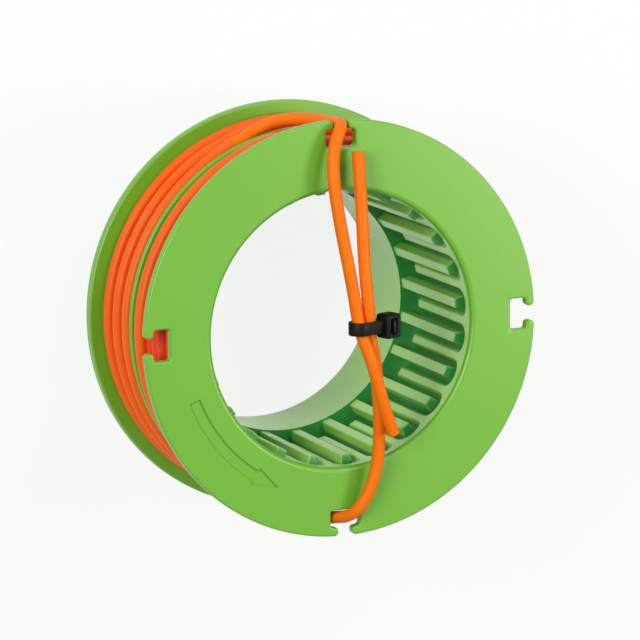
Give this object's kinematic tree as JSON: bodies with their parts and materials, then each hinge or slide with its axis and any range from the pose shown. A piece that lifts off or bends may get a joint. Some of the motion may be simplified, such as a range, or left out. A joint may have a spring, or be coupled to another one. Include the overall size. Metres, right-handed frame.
{
  "type": "spool of trimmer line",
  "caption": "Green plastic spool of orange trimmer line with two chambers, a notched front flange, a ratchet-toothed bore and line ends tied together across the face.",
  "frame": {"origin": "centre of the rear tube's end face, which the spool stands on", "axes": "+Z along the spool's axis towards the notched front face, +Y towards the 12 o'clock notch"},
  "size_m": [0.08, 0.0804, 0.0538],
  "materials": {
    "green_plastic": "moulded, satin",
    "orange_line": "extruded nylon, smooth",
    "black_nylon": "moulded nylon"
  },
  "bodies": {
    "root": {"spool_body": "green_plastic", "rear_winding": "orange_line", "front_winding": "orange_line", "upper_line_end": "orange_line", "lower_line_end": "orange_line", "cable_tie": "black_nylon"}
  },
  "joints": []
}
